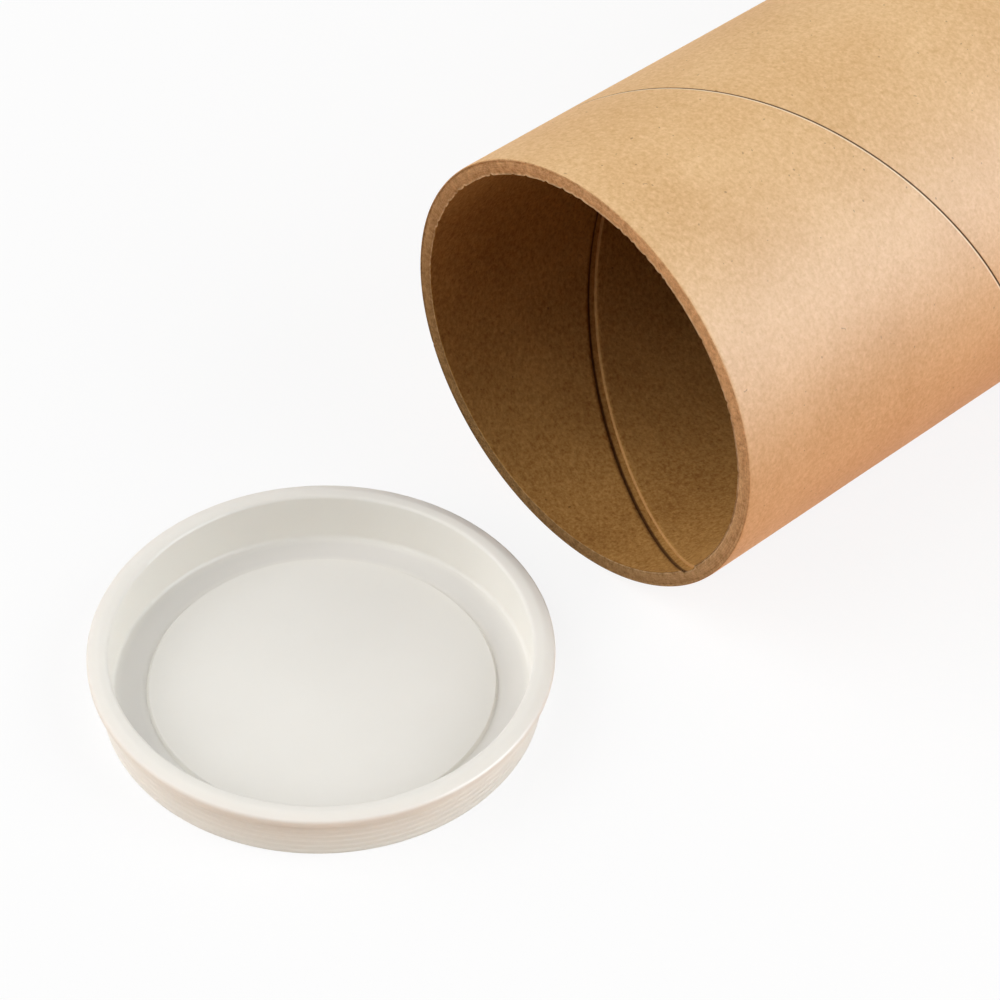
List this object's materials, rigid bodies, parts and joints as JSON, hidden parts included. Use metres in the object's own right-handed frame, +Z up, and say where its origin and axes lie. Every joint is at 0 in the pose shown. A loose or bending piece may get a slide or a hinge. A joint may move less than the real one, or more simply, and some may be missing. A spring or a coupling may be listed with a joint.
{
  "type": "mailing tube",
  "caption": "Spirally wound cardboard mailing tube lying on its side, far end closed by a push-in plastic cap, mouth open, with its own cap lying open side up in front of it.",
  "frame": {"origin": "middle of the footprint of the lying tube and the loose cap, on the floor", "axes": "+Y along the tube from its open mouth to its closed far end, +Z up"},
  "size_m": [0.1112, 0.5782, 0.1076],
  "materials": {
    "kraft_board": "smooth kraft paper",
    "cap_plastic": "matte"
  },
  "bodies": {
    "tube": {"tube": "kraft_board", "front_cap": "cap_plastic"},
    "rear_cap": {"rear_cap": "cap_plastic"}
  },
  "joints": [
    {"name": "rear_cap_pull", "type": "slide", "parent": "tube", "child": "rear_cap", "axis": [0, 1, 0], "range_m": [0, 0.04]}
  ]
}
